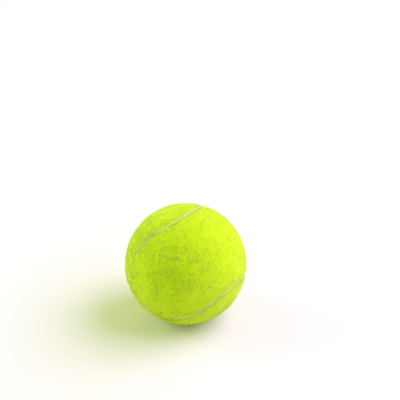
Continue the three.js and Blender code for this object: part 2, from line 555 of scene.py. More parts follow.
# The soil comes and goes round a middle share of its strength.
SOIL_MIDDLE, SOIL_CHANGE = 0.75, 0.5
SOIL_DICE = np.random.default_rng(SOIL_SEED)
SOILED = [
    (unit(np.array([-0.50, -0.39, 0.77])), 2.4 * MM, 0.9),
    (unit(np.array([-0.60, -0.40, 0.70])), 2.6 * MM, 0.8),
    (unit(np.array([-0.75, -0.38, 0.53])), 6.0 * MM, 0.3),
    (unit(np.array([0.26, -0.91, -0.31])), 4.0 * MM, 0.35),
]
SOILED += [(TO_WORLD @ SEAM_MIDDLE[spot], SOIL_DICE.uniform(*SOIL_REACHES) * MM,
            SOIL_DICE.uniform(*SOIL_STRENGTHS))
           for spot in SOIL_DICE.integers(0, SEAM_POINTS, OTHER_SOILED)]


def soil_strip(strip):
    """Stores how soiled each point of the cement is."""
    directions = unit(points_of(strip.data))
    soil = np.zeros(len(directions))
    for middle, reach, strength in SOILED:
        away = np.arccos(np.clip(directions @ middle, -1, 1)) * BALL_RADIUS / reach
        soil = np.maximum(soil, strength * np.exp(-away ** 2))
    soil *= SOIL_MIDDLE + SOIL_CHANGE * wobble(directions, SOIL_WAVE, SOIL_NOISE)
    layer = strip.data.attributes.new("soil", "FLOAT", "POINT")
    layer.data.foreach_set("value", np.clip(soil, 0, 1))


soil_strip(strip)
print("soiled stretches:", len(SOILED))

# %% [markdown]
# ## Under the felt
#
# What nobody sees is made as well, because the model may be opened. Under each panel lies a coat of glue.
# It is brushed on, so it is a little uneven, and it is cut from a round cube as the felt is. The core is
# two moulded rubber shells. A shell starts as a sphere that is bisected above its middle. Solidify gives
# it its wall, and Bevel rounds its rims. A ring of black cement joins the shells. Some of it was squeezed
# out inside, where it stands as a bead. The ring starts as a torus, whose round outline is redrawn.

# %% Brush on the coats of glue
COAT_CELLS = 48
BRUSH_SIZE = 3 * MM
BRUSH_HEIGHT = 0.1 * MM


def glue_coats():
    coat = panel_sheet("coat_sheet", COAT_TOP, COAT_TOP - COAT_BOTTOM, FELT_EDGE, COAT_CELLS, CUT_RAGGED)
    upper = np.linalg.norm(points_of(coat.data), axis=1) > (COAT_BOTTOM + COAT_TOP) / 2
    coat.vertex_groups.new(name="brushed").add(np.flatnonzero(upper).tolist(), 1.0, "REPLACE")
    coats = [turned_copy(coat, f"glue_coat_{side}", turn) for side, turn in PANEL_PLACES.items()]
    bpy.data.objects.remove(coat)
    brush_marks = lump_texture("brush_marks", BRUSH_SIZE)
    for coat in coats:
        displace(coat, "brush marks", BRUSH_HEIGHT, "brushed", brush_marks)
        finish_piece(coat, CREASE)
    return coats


coats = glue_coats()

# %% Mould the two shells of the core
CORE_SEGMENTS = 96
RIM_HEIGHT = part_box("core_half_upper")[0][2]
RIM_ROUND = 0.25 * MM
NEAR_RIM = 0.3 * MM


def core_shell():
    """The upper shell, with its flat rim down."""
    bpy.ops.object.select_all(action="DESELECT")
    bpy.ops.mesh.primitive_uv_sphere_add(segments=CORE_SEGMENTS, ring_count=CORE_SEGMENTS // 2,
                                         radius=CORE_RADIUS)
    shell = named(bpy.context.object, "core_shell_upper")
    edit(shell, "FACE")
    bpy.ops.mesh.select_all(action="SELECT")
    bpy.ops.mesh.bisect(plane_co=(0, 0, RIM_HEIGHT), plane_no=(0, 0, 1), clear_inner=True)
    bpy.ops.object.mode_set(mode="OBJECT")
    wall = shell.modifiers.new("wall", "SOLIDIFY")
    wall.thickness = CORE_RADIUS - CORE_INSIDE
    wall.offset = -1
    apply_modifiers(shell)

    # Solidify tilts the rim a little, so each of its points goes back to its sphere and to one height.
    rows = points_of(shell.data)
    outer = np.linalg.norm(rows, axis=1) > (CORE_INSIDE + CORE_RADIUS) / 2
    radius = np.where(outer, CORE_RADIUS, CORE_INSIDE)
    rim = rows[:, 2] < RIM_HEIGHT + NEAR_RIM
    rows = unit(rows) * radius[:, None]
    rows[rim, :2] = unit(rows[rim, :2]) * np.sqrt(radius[rim] ** 2 - RIM_HEIGHT ** 2)[:, None]
    rows[rim, 2] = RIM_HEIGHT
    move_points(shell.data, rows)

    rounding = shell.modifiers.new("rims", "BEVEL")
    rounding.width = RIM_ROUND
    rounding.segments = 3
    rounding.limit_method = "ANGLE"
    rounding.angle_limit = CREASE
    finish_piece(shell)
    return shell


upper_shell = core_shell()
shells = [upper_shell, turned_copy(upper_shell, "core_shell_lower", TURN_OVER)]
tell(shells[1])

# %% Squeeze the ring of cement between the shells
RING_STEPS = 160
BEAD_TIP = radii_of("core_joint_cement")[0]
BEAD_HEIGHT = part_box("core_joint_cement")[1][2]
BEAD_NOISE = 51
BEAD_SIZE = 5 * MM
BEAD_STEPS = 6
BEAD_SWELL = 0.25
BEAD_FROM = CORE_INSIDE - 0.05 * MM
WEB_OUTSIDE = CORE_RADIUS - 0.05 * MM
RING_CREASE = math.radians(40)
# The cement keeps these clearances from the rims and from the inner wall.
RIM_GAP, WALL_GAP = 0.01 * MM, 0.03 * MM


def joint_outline():
    """The ring's section, as distances from the axis and heights: a thin web, and a bead inside it."""
    web = RIM_HEIGHT - RIM_GAP
    wall = CORE_INSIDE - WALL_GAP
    turn = np.linspace(0, math.pi / 2, BEAD_STEPS)
    bead = np.stack([wall - (wall - BEAD_TIP) * np.sin(turn), BEAD_HEIGHT * np.cos(turn)], axis=1)
    edge = [[WEB_OUTSIDE, web], [(CORE_RADIUS + CORE_INSIDE) / 2, web], [wall, web]]
    upper = np.concatenate([edge, bead])
    # The lower half mirrors the upper one, and the bead's tip belongs to both.
    return np.concatenate([upper, upper[-2::-1] * [1, -1]])


def joint_ring():
    outline = joint_outline()
    bpy.ops.object.select_all(action="DESELECT")
    bpy.ops.mesh.primitive_torus_add(major_segments=RING_STEPS, minor_segments=len(outline),
                                     major_radius=CORE_INSIDE, minor_radius=CORE_INSIDE - BEAD_TIP)
    ring = named(bpy.context.object, "core_joint_ring")
    turn = np.repeat(np.arange(RING_STEPS) * 2 * math.pi / RING_STEPS, len(outline))
    away, height = np.tile(outline, (RING_STEPS, 1)).T
    round_way = np.stack([np.cos(turn), np.sin(turn), np.zeros(len(turn))], axis=1)
    # The bead is thicker in some places than in others. The web keeps its place between the rims.
    swell = 1 + BEAD_SWELL * wobble(round_way, BEAD_SIZE, BEAD_NOISE)
    swollen = CORE_INSIDE - (CORE_INSIDE - away) * np.minimum(swell, 1)
    away = np.where(away < BEAD_FROM, swollen, away)
    rows = round_way * away[:, None]
    rows[:, 2] = height
    move_points(ring.data, rows)
    finish_piece(ring, RING_CREASE)
    return ring


joint = joint_ring()

# %% [markdown]
# ## The nap
#
# The felt's fibres are fine curled wool. Each one starts in the felt, runs along it in a bend of its
# own, lifts off a little and comes down again or ends in the air. Thousands of them are laid as
# splines of one curve, which gets a small three-sided section and is turned into a mesh. They lie in
# swirls, because their headings follow a slow noise. Near the seam they may lean over the cement a
# little. Some fibres lie together in curled tufts, most of them in the matted patches, and these are
# what shows of the felt's grain from a step away. Shorter and finer hairs stand off all over as a fuzz,
# which blurs the ball's outline.

# %% Give the fibres their section
FIBRE_RADIUS = 0.036 * MM
SIDES = 3


def fibre_section():
    """The three-sided outline that a fibre is drawn along."""
    bpy.ops.object.select_all(action="DESELECT")
    bpy.ops.curve.primitive_bezier_circle_add(radius=FIBRE_RADIUS)
    section = named(bpy.context.object, "fibre_section")
    outline = section.data
    outline.splines.clear()
    spline = outline.splines.new("POLY")
    spline.points.add(SIDES - 1)
    for number, point in enumerate(spline.points):
        angle = 2 * math.pi * number / SIDES
        point.co = (FIBRE_RADIUS * math.cos(angle), FIBRE_RADIUS * math.sin(angle), 0, 1)
    spline.use_cyclic_u = True
    return section


section = fibre_section()
print("a fibre has", len(section.data.splines[0].points), "sides")

# %% Know the outer face of each panel
ROOT_DEPTH = 0.12 * MM
PROBE_HEIGHT = 2 * MM


class PanelFace:
    """Knows the outer face of one felt panel, which its fibres follow."""

    def __init__(self, felt, side):
        self.side = 1 if side == "a" else -1
        self.tree = BVHTree.FromObject(felt, bpy.context.evaluated_depsgraph_get())

    def inland(self, directions):
        """Distance from the seam into this panel."""
        return self.side * seam_distance(directions @ TO_WORLD)

    def height_at(self, directions):
        """The radius of the felt under each direction. Past its edge, fibres lie on the cement."""
        above = BALL_RADIUS + PROBE_HEIGHT
        heights = np.full(len(directions), BALL_RADIUS - SEAM_RECESS + ROOT_DEPTH)
        for number, row in enumerate(directions):
            hit = self.tree.ray_cast(Vector(row * above), Vector(-row), 2 * PROBE_HEIGHT)[0]
            if hit:
                heights[number] = hit.length
        return heights

    def hold_back(self, place, limit):
        """Moves points that have strayed too far over the seam back to their limit from its middle."""
        directions = unit(place)
        near = nearest_on_seam(directions @ TO_WORLD)
        across = self.side * SEAM_ACROSS[near] @ TO_WORLD.T
        inland = np.arcsin((directions * across).sum(axis=1)) * BALL_RADIUS
        short = np.maximum(limit - inland, 0) / BALL_RADIUS
        return unit(directions + across * short[:, None]) * BALL_RADIUS


faces = [PanelFace(felt, side) for side, felt in zip("ab", felts)]
middle_height = faces[0].height_at(np.array([[0.0, 0.0, 1.0]]) @ TO_WORLD.T)[0]
print("the middle of panel a stands at", round(middle_height / MM, 2), "mm")

# %% Choose where fibres and tufts start
# Many directions are tried for each one, because some fall on the other panel or outside the patches.
STARTS_TRIED = 3
SEAM_SIDE_SHARE = 0.09
SEAM_SIDE = (0.1, 1.6)
TUFTS_TRIED = 30
TUFTS_ELSEWHERE = 0.02
TUFT_FROM_SEAM = 0.5 * MM


def starts(face, dice, count):
    """Directions spread evenly over the panel, and a few more beside the seam, where nap is thick."""
    beside = int(count * SEAM_SIDE_SHARE)
    rows = unit(dice.normal(size=(count * STARTS_TRIED, 3)))
    rows = rows[face.inland(rows) > FELT_EDGE][:count - beside]
    spot = dice.integers(0, SEAM_POINTS, beside)
    angle = (FELT_EDGE + dice.uniform(*SEAM_SIDE, beside) * MM)[:, None] / BALL_RADIUS
    near = SEAM_MIDDLE[spot] * np.cos(angle) + face.side * SEAM_ACROSS[spot] * np.sin(angle)
    return np.concatenate([rows, near @ TO_WORLD.T])


def tuft_spots(face, dice, count):
    """Directions to the tufts, most of them in the matted patches."""
    rows = unit(dice.normal(size=(count * TUFTS_TRIED, 3)))
    wanted = dice.random(len(rows)) < TUFTS_ELSEWHERE + (1 - TUFTS_ELSEWHERE) * matted(rows)
    return rows[wanted & (face.inland(rows) > FELT_EDGE + TUFT_FROM_SEAM)][:count]


print(f"{SEAM_SIDE_SHARE:.0%} of the fibres start beside the seam")

# %% Walk the fibres over the felt
FIBRE_POINTS = 6
SWIRL_NOISE = 21
SWIRL_WAVE = 9 * MM
SWIRL_TURN = 2.5
SWIRL_SPREAD = 1.1
KINK = 0.5
OVERHANG = 0.12 * MM
MOST_OVERHANG = 2.5 * OVERHANG
ACROSS_SHARE = 0.04
ACROSS_LEANS = (0.3, 1.3)
# Headings are measured from a side way, which any fixed direction can give.
FIXED_WAY = (0.3, 0.2, 1.0)


def walk(face, dice, start, length, curl, points=FIBRE_POINTS):
    """Paths over the felt from these starts, as an array of fibres by points by three."""
    side_way = unit(np.cross(start, FIXED_WAY))
    fore_way = np.cross(start, side_way)
    swirl = SWIRL_TURN * wobble(start, SWIRL_WAVE, SWIRL_NOISE)
    swirl = swirl + dice.normal(scale=SWIRL_SPREAD, size=len(start))
    bend = dice.normal(scale=curl, size=len(start))
    kink = dice.normal(scale=KINK, size=(len(start), points))
    lean = np.minimum(np.abs(dice.normal(scale=OVERHANG, size=len(start))), MOST_OVERHANG)
    across = dice.random(len(start)) < ACROSS_SHARE
    lean = np.where(across, dice.uniform(*ACROSS_LEANS, len(start)) * MM, lean)
    step = (length / (points - 1))[:, None]
    heading = swirl - bend / 2
    place = start * BALL_RADIUS
    rows = [place]
    for number in range(1, points):
        heading = heading + bend / (points - 1) + kink[:, number]
        way = side_way * np.cos(heading)[:, None] + fore_way * np.sin(heading)[:, None]
        place = face.hold_back(unit(place + way * step) * BALL_RADIUS, FELT_EDGE - lean)
        rows.append(place)
    return np.stack(rows, axis=1)


def lifted(face, path, lift, shape):
    """The paths at their height over the felt, from just under its face."""
    ground = face.height_at(unit(path.reshape(-1, 3))).reshape(path.shape[:2])
    radius = ground - ROOT_DEPTH + shape * lift[:, None]
    return unit(path) * radius[:, :, None]


print(f"most fibres lean over the cement by {MOST_OVERHANG / MM:.1f} mm or less")

# %% Shape and tone a fibre, with painted light and shade on the matted curls
LOOP_POWER = 0.8
RISE_POWER = 1.3
# On matted curls above this level the tone is paled as painted highlight, below it deepened as painted
# shade.
PAINTED_LIGHT_LEVEL = 0.35


def loop_shape(points):
    """A fibre that lifts off and comes down again."""
    return np.sin(math.pi * np.linspace(0, 1, points)) ** LOOP_POWER


def rise_shape(points):
    """A fibre that ends in the air."""
    return np.linspace(0, 1, points) ** RISE_POWER


def own_tones_and_painted_curl_shading(path, own):
    """Each point's tone: its fibre's own, plus painted highlight on matted curls and painted shade beside.
    """
    directions = unit(path.reshape(-1, 3))
    # Painted light and shade: the tone rises along the curls' tops and falls beside them.
    curled = (curls(directions) - PAINTED_LIGHT_LEVEL) * matted(directions)
    return np.clip(own[:, None] + curled.reshape(path.shape[:2]), 0, 1)


print("a loop rises like", loop_shape(FIBRE_POINTS).round(2))

# %% Make single fibres
# Here and below, lengths and lifts are in millimetres, and tones are a mean and a spread.
PIECES_A_PANEL = 3
SINGLES_A_PIECE = 5560
SINGLE_CURL = 1.7
SINGLE_LENGTHS = (1.8, 4.2)
SINGLE_TONES = (0.35, 0.08)
LOW_LIFTS = (0.08, 0.28)
LOOSE_LIFTS = (0.25, 0.6)
STRAY_LIFTS = (0.5, 1.1)
LOOSE_SHARE = 0.33
STRAY_SHARE = 0.1


def single_fibres(face, dice, count):
    """Fibres that lie low, loose ones that end in the air, and a few strays that stand higher."""
    start = starts(face, dice, count)
    path = walk(face, dice, start, dice.uniform(*SINGLE_LENGTHS, count) * MM, SINGLE_CURL)
    kind = dice.random(count)
    stray = kind < STRAY_SHARE
    loose = kind < STRAY_SHARE + LOOSE_SHARE
    lift = dice.uniform(*LOW_LIFTS, count)
    lift = np.where(loose, dice.uniform(*LOOSE_LIFTS, count), lift)
    lift = np.where(stray, dice.uniform(*STRAY_LIFTS, count), lift)
    shape = np.where(loose[:, None], rise_shape(FIBRE_POINTS), loop_shape(FIBRE_POINTS))
    return lifted(face, path, lift * MM, shape), own_tones_and_painted_curl_shading(path, dice.normal(*SINGLE_TONES, count))


print("a panel gets", PIECES_A_PANEL * SINGLES_A_PIECE, "single fibres")

# %% Make tufts
TUFTS_A_PIECE = 90
TUFT_FIBRES = 6
TUFT_CURL = 2.4
TUFT_LENGTHS = (1.6, 3.0)
# Tufts are toned paler than single fibres, a painted highlight for the light they catch.
TUFT_TONES_WITH_PAINTED_HIGHLIGHT = (0.7, 0.15)
TUFT_LIFTS = (0.2, 0.5)
TUFT_SPREAD = 0.22 * MM
TUFT_WANDER = TUFT_SPREAD / 3
TUFT_PINCH = 0.35


def tuft_fibres(face, dice, tufts):
    """Curled locks of fibres that follow one path and pinch together at its ends."""
    start = tuft_spots(face, dice, tufts)
    path = walk(face, dice, start, dice.uniform(*TUFT_LENGTHS, tufts) * MM, TUFT_CURL)
    path = np.repeat(path, TUFT_FIBRES, axis=0)
    apart = dice.normal(scale=TUFT_SPREAD, size=(len(path), 1, 3))
    apart = apart + dice.normal(scale=TUFT_WANDER, size=path.shape)
    loop = loop_shape(FIBRE_POINTS)
    path = unit(path + apart * (TUFT_PINCH + loop)[:, None]) * BALL_RADIUS
    lift = dice.uniform(*TUFT_LIFTS, len(path)) * MM
    own = np.repeat(dice.normal(*TUFT_TONES_WITH_PAINTED_HIGHLIGHT, tufts), TUFT_FIBRES)
    return lifted(face, path, lift, loop), own_tones_and_painted_curl_shading(path, own)


print("a panel gets", PIECES_A_PANEL * TUFTS_A_PIECE, "tufts of", TUFT_FIBRES, "fibres")

# %% Make the fuzz
FUZZ_A_PANEL = 6000
FUZZ_POINTS = 4
FUZZ_CURL = 1.2
FUZZ_LENGTHS = (0.7, 1.8)
FUZZ_TONES = (0.4, 0.15)
FUZZ_LIFTS = (0.35, 0.95)


def fuzz_fibres(face, dice, count):
    """Short hairs that stand off the felt."""
    start = starts(face, dice, count)
    length = dice.uniform(*FUZZ_LENGTHS, count) * MM
    path = walk(face, dice, start, length, FUZZ_CURL, FUZZ_POINTS)
    lift = dice.uniform(*FUZZ_LIFTS, count) * MM
    own = dice.normal(*FUZZ_TONES, count)
    return lifted(face, path, lift, rise_shape(FUZZ_POINTS)), own_tones_and_painted_curl_shading(path, own)


print("a panel gets", FUZZ_A_PANEL, "hairs")

# %% [markdown]
# ## From lines to wool
#
# One curve object carries thousands of splines. Its bevel object draws the section along each of them,
# and the radius of their points makes them taper. Turned into a mesh and smooth shaded, a tube needs no
# more than three sides. The mesh keeps the order of the splines, so each fibre gets its tone and its place
# in the map by its number.

# %% Draw the fibres as tubes
TAPER_PLACES = (0, 0.2, 0.6, 1)
TAPER_WIDTHS = (1.0, 1.1, 0.9, 0.4)


def lay_fibres(name, rows, section, thickness):
    """One curve object with a spline for each fibre, turned into a mesh of thin tubes."""
    bpy.ops.object.select_all(action="DESELECT")
    bpy.ops.curve.primitive_bezier_curve_add()
    fibres = named(bpy.context.object, name)
    curve = fibres.data
    curve.splines.clear()
    curve.dimensions = "3D"
    curve.bevel_mode = "OBJECT"
    curve.bevel_object = section
    curve.use_fill_caps = True
    points = rows.shape[1]
    taper = thickness * np.interp(np.linspace(0, 1, points), TAPER_PLACES, TAPER_WIDTHS)
    four = np.ones((points, 4), np.float32)
    for fibre in rows:
        spline = curve.splines.new("POLY")
        spline.points.add(points - 1)
        four[:, :3] = fibre
        spline.points.foreach_set("co", four.ravel())
        spline.points.foreach_set("radius", taper)
    select_only(fibres)
    bpy.ops.object.convert(target="MESH")
    return bpy.context.object


print(f"a fibre's tip is {2 * FIBRE_RADIUS * TAPER_WIDTHS[-1] / MM:.3f} mm thick")

# %% Give each fibre its tone and its place in the map
# The new mesh lists the caps first, three points each, from the last fibre back to the first. Then come
# the tubes, ring by ring, and its faces are in the same order.
CAP_POINTS = 2 * SIDES
# The map is cut into square cells. These are shares of a cell.
CELL_EDGE = 0.06
TUBE_WIDTH = 0.88
TUBE_HEIGHT = 0.66
CAP_STEP = 0.5
CAP_WIDTH = 0.38
CAP_BOTTOM = 0.80
CAP_HEIGHT = 0.14


def tone_fibres(fibres, tones):
    """Stores the tones on the points of the caps and of the tubes' rings."""
    caps = np.repeat(tones[::-1, [0, -1]].ravel(), SIDES)
    tubes = np.repeat(tones.ravel(), SIDES)
    tone = fibres.data.attributes.new("tone", "FLOAT", "POINT")
    tone.data.foreach_set("value", np.concatenate([caps, tubes]))


def map_fibres(fibres, count, points):
    """Lays each fibre out in a cell of its own: its tube below and its two caps above."""
    mesh = fibres.data
    vertex = np.empty(len(mesh.loops), np.int32)
    mesh.loops.foreach_get("vertex_index", vertex)
    caps, tubes = np.split(vertex, [CAP_POINTS * count])

    fibre = count - 1 - caps // CAP_POINTS
    which = caps % CAP_POINTS // SIDES
    corner = caps % SIDES
    cap_u = CELL_EDGE + CAP_STEP * which + CAP_WIDTH * (corner == 1) + CAP_WIDTH / 2 * (corner == 2)
    cap_v = CAP_BOTTOM + CAP_HEIGHT * (corner == 2)

    tubes = tubes - CAP_POINTS * count
    side = (tubes % SIDES).reshape(-1, 4)
    # The face that closes the tube goes from its last side on to the first.
    closing = (side.max(axis=1) - side.min(axis=1) == SIDES - 1)[:, None]
    side = np.where(closing & (side == 0), SIDES, side).ravel()
    ring = tubes % (SIDES * points) // SIDES
    tube_u = CELL_EDGE + TUBE_WIDTH * side / SIDES
    tube_v = CELL_EDGE + TUBE_HEIGHT * ring / (points - 1)

    number = np.concatenate([fibre, tubes // (SIDES * points)])
    across = math.ceil(math.sqrt(count))
    u = (number % across + np.concatenate([cap_u, tube_u])) / across
    v = (number // across + np.concatenate([cap_v, tube_v])) / across
    while mesh.uv_layers:
        mesh.uv_layers.remove(mesh.uv_layers[0])
    layer = mesh.uv_layers.new(name="OFBake")
    layer.data.foreach_set("uv", np.stack([u, v], axis=1).astype(np.float32).ravel())


print("each fibre gets", CAP_POINTS, "points for its caps")

# %% Lay all the nap
NAP_SEED = 11
FUZZ_THICKNESS = 0.7
SAME_POINT = FIBRE_RADIUS / 20


def fibre_piece(name, rows, tones, section, thickness=1.0):
    """One piece of the nap, with its tones and its map."""
    # A fibre that is held back at the seam can fold up on itself, and such a one is left out.
    open_out = np.linalg.norm(np.diff(rows, axis=1), axis=2).min(axis=1) > FIBRE_RADIUS
    rows = rows[open_out]
    points = rows.shape[1]
    fibres = lay_fibres(name, rows, section, thickness)
    tone_fibres(fibres, tones[open_out])
    map_fibres(fibres, len(rows), points)
    edit(fibres, "VERT")
    bpy.ops.mesh.select_all(action="SELECT")
    bpy.ops.mesh.remove_doubles(threshold=SAME_POINT)
    bpy.ops.object.mode_set(mode="OBJECT")
    bpy.ops.object.shade_smooth()
    tell(fibres)
    return fibres


naps = []
for side, face in zip("ab", faces):
    for number in range(PIECES_A_PANEL):
        dice = np.random.default_rng([NAP_SEED, ord(side), number])
        singles, tones = single_fibres(face, dice, SINGLES_A_PIECE)
        curled, curled_tones = tuft_fibres(face, dice, TUFTS_A_PIECE)
        rows = np.concatenate([singles, curled])
        tones = np.concatenate([tones, curled_tones])
        naps.append(fibre_piece(f"nap_{side}_{number + 1}", rows, tones, section))
    dice = np.random.default_rng([NAP_SEED, ord(side), PIECES_A_PANEL])
    rows, tones = fuzz_fibres(face, dice, FUZZ_A_PANEL)
    naps.append(fibre_piece(f"nap_{side}_fuzz", rows, tones, section, FUZZ_THICKNESS))
bpy.data.objects.remove(section)

# %% [markdown]
# ## Materials
#
# Felt has no gloss. What is seen is its yellow-green dye, and a pale bloom where fibre ends catch the
# light from the side. So the dye is mixed from a few tones by noises of several sizes, and Sheen gives
# the bloom. The felt under the fibres is coloured a little deeper than the fibres. The fibres pale by a
# stored tone, which holds painted highlight on tufts and matted curls and painted shade beside the curls.

# %% Small helpers for shader nodes
def add_node(tree, kind, **values):
    node = tree.nodes.new(kind)
    for key, value in values.items():
        setattr(node, key, value)
    return node


def set_inputs(node, **values):
    for key, value in values.items():
        node.inputs[key.replace("_", " ")].default_value = value
    return node


def rgb(red, green, blue):
    """A colour given as it shows on a screen, from 0 to 255, turned to the shader's linear values."""
    def linear(value):
        value /= 255
        return value / 12.92 if value <= 0.04045 else ((value + 0.055) / 1.055) ** 2.4
    return (linear(red), linear(green), linear(blue), 1.0)


print("a middle grey is", round(rgb(128, 128, 128)[0], 3), "to the shader")

# %% A shader group for the dye's unevenness
def mottle_group():
    """Mixes three tones over a surface: broad drifts, then specks of a given size."""
    tree = bpy.data.node_groups.new("mottle", "ShaderNodeTree")
    for name, kind in (("Vector", "Vector"), ("Broad Scale", "Float"), ("Fine Scale", "Float"),
                       ("Main", "Color"), ("Deep", "Color"), ("Light", "Color")):
        tree.interface.new_socket(name, in_out="INPUT", socket_type="NodeSocket" + kind)
    for name, kind in (("Color", "Color"), ("Height", "Float")):
        tree.interface.new_socket(name, in_out="OUTPUT", socket_type="NodeSocket" + kind)
    enter = add_node(tree, "NodeGroupInput")
    leave = add_node(tree, "NodeGroupOutput")
    link = tree.links.new

    broad = set_inputs(add_node(tree, "ShaderNodeTexNoise"), Detail=2.0, Roughness=0.5)
    fine = set_inputs(add_node(tree, "ShaderNodeTexNoise"), Detail=4.0, Roughness=0.6, Distortion=1.2)
    link(enter.outputs["Vector"], broad.inputs["Vector"])
    link(enter.outputs["Vector"], fine.inputs["Vector"])
    link(enter.outputs["Broad Scale"], broad.inputs["Scale"])
    link(enter.outputs["Fine Scale"], fine.inputs["Scale"])

    drift = add_node(tree, "ShaderNodeMapRange")
    set_inputs(drift, From_Min=0.35, From_Max=0.65, To_Min=0.0, To_Max=0.6)
    speck = add_node(tree, "ShaderNodeMapRange")
    set_inputs(speck, From_Min=0.55, From_Max=0.3, To_Min=0.0, To_Max=0.85)
    link(broad.outputs["Fac"], drift.inputs["Value"])
    link(fine.outputs["Fac"], speck.inputs["Value"])

    lighten = add_node(tree, "ShaderNodeMix", data_type="RGBA")
    deepen = add_node(tree, "ShaderNodeMix", data_type="RGBA")
    link(drift.outputs["Result"], lighten.inputs["Factor"])
    link(enter.outputs["Main"], lighten.inputs["A"])
    link(enter.outputs["Light"], lighten.inputs["B"])
    link(speck.outputs["Result"], deepen.inputs["Factor"])
    link(lighten.outputs["Result"], deepen.inputs["A"])
    link(enter.outputs["Deep"], deepen.inputs["B"])
    link(deepen.outputs["Result"], leave.inputs["Color"])
    link(fine.outputs["Fac"], leave.inputs["Height"])
    return tree


mottle = mottle_group()
print("mottle has", len(mottle.nodes), "nodes")

# %% Dye the felt and its nap
# How strong the relief of a bump is, and how far light of each colour runs inside the wool.
BUMP_STRENGTH = 0.6
LIGHT_RUNS = (1, 1, 0.3)
BLOOM_TINT = (0.85, 1, 0.62, 1)


def mottled_material(name, main, deep, light, broad, fine, roughness, bump=None):
    """A dull material whose tones drift over the broad size and fleck over the fine one."""
    material = bpy.data.materials.new(name)
    material.use_nodes = True
    tree = material.node_tree
    shader = tree.nodes["Principled BSDF"]
    place = add_node(tree, "ShaderNodeTexCoord")
    tones = add_node(tree, "ShaderNodeGroup", node_tree=mottle)
    set_inputs(tones, Broad_Scale=1 / broad, Fine_Scale=1 / fine, Main=main, Deep=deep, Light=light)
    tree.links.new(place.outputs["Object"], tones.inputs["Vector"])
    tree.links.new(tones.outputs["Color"], shader.inputs["Base Color"])
    set_inputs(shader, Roughness=roughness)
    if bump:
        relief = set_inputs(add_node(tree, "ShaderNodeBump"), Strength=BUMP_STRENGTH, Distance=bump)
        tree.links.new(tones.outputs["Height"], relief.inputs["Height"])
        tree.links.new(relief.outputs["Normal"], shader.inputs["Normal"])
    return material, shader


felt_material, felt_shader = mottled_material(
    "felt", main=rgb(208, 239, 10), deep=rgb(200, 233, 7), light=rgb(215, 243, 16),
    broad=9 * MM, fine=0.6 * MM, roughness=0.95, bump=0.1 * MM)
nap_material, nap_shader = mottled_material(
    "nap", main=rgb(213, 242, 22), deep=rgb(206, 237, 17), light=rgb(219, 245, 29),
    broad=9 * MM, fine=1.6 * MM, roughness=0.9)
set_inputs(felt_shader, Sheen_Weight=0.2, Subsurface_Weight=0.5, Subsurface_Scale=0.5 * MM)
set_inputs(nap_shader, Sheen_Weight=0.5, Subsurface_Weight=0.6, Subsurface_Scale=0.08 * MM)
for shader in (felt_shader, nap_shader):
    set_inputs(shader, Sheen_Roughness=0.5, Sheen_Tint=BLOOM_TINT, Specular_IOR_Level=0.1,
               Subsurface_Radius=LIGHT_RUNS)
print("dyed", felt_material.name, "and", nap_material.name)

# %% Let a colour fade by what the mesh stores
def fade_by(attribute, material, shader, other):
    """Fades a material's colour to another one by an attribute of the mesh."""
    tree = material.node_tree
    tone = add_node(tree, "ShaderNodeAttribute", attribute_name=attribute)
    mix = set_inputs(add_node(tree, "ShaderNodeMix", data_type="RGBA"), B=other)
    before = shader.inputs["Base Color"].links[0].from_socket
    tree.links.new(tone.outputs["Fac"], mix.inputs["Factor"])
    tree.links.new(before, mix.inputs["A"])
    tree.links.new(mix.outputs["Result"], shader.inputs["Base Color"])


# The tone holds each fibre's own paleness, plus painted highlight on tufts and curls and painted shade
# beside curls.
fade_by("tone", nap_material, nap_shader, rgb(231, 252, 60))
print("the nap pales by its tone")

# %% [markdown]
# ## Cement, glue and rubber
#
# The other pieces are dull as well, and each one has its own grain. Dried cement is pale and takes dirt,
# brushed glue is amber and a little glossier, and the rubber and the cement of its joint are nearly black.
# The mottle group serves them all with other tones, and a fine bump follows its flecks.

# %% Colour the cement, the glue and the rubber
cement_material, cement_shader = mottled_material(
    "seam_cement", main=rgb(204, 219, 100), deep=rgb(176, 192, 78), light=rgb(214, 228, 116),
    broad=4 * MM, fine=0.7 * MM, roughness=0.7, bump=0.1 * MM)
fade_by("soil", cement_material, cement_shader, rgb(134, 142, 96))
glue_material, _ = mottled_material(
    "glue_coat", main=rgb(208, 196, 150), deep=rgb(180, 166, 120), light=rgb(222, 212, 172),
    broad=12 * MM, fine=1.5 * MM, roughness=0.5, bump=0.1 * MM)
rubber_material, _ = mottled_material(
    "core_rubber", main=rgb(52, 53, 55), deep=rgb(38, 39, 41), light=rgb(66, 67, 70),
    broad=15 * MM, fine=0.6 * MM, roughness=0.75, bump=0.08 * MM)
joint_material, _ = mottled_material(
    "joint_cement", main=rgb(30, 30, 31), deep=rgb(20, 20, 21), light=rgb(40, 40, 42),
    broad=5 * MM, fine=0.5 * MM, roughness=0.55, bump=0.08 * MM)


def dress(things, material):
    for thing in things:
        thing.data.materials.append(material)


dress(felts, felt_material)
dress(naps, nap_material)
dress([strip], cement_material)
dress(coats, glue_material)
dress(shells, rubber_material)
dress([joint], joint_material)
print("the felt's nap is dressed in", naps[0].data.materials[0].name)

# %% [markdown]
# ## What each piece stands for
#
# The whole ball is one body. Each panel is a sheet of felt, stretched over the core, and its nap goes
# with it.

# %% Say what rides and what is replaced
# A panel reaches round the ball from lobe to lobe, and is widest across a lobe.
for thing in (*felts, *naps, strip, *coats, *shells, joint):
    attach(thing, "root")
for side, felt in zip("ab", felts):
    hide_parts(f"felt_panel_{side}")
for side, coat in zip("ab", coats):
    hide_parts(f"panel_adhesive_{side}")
for half, shell in zip(("upper", "lower"), shells):
    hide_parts(f"core_half_{half}")
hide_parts("core_joint_cement")
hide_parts("seam_cement")

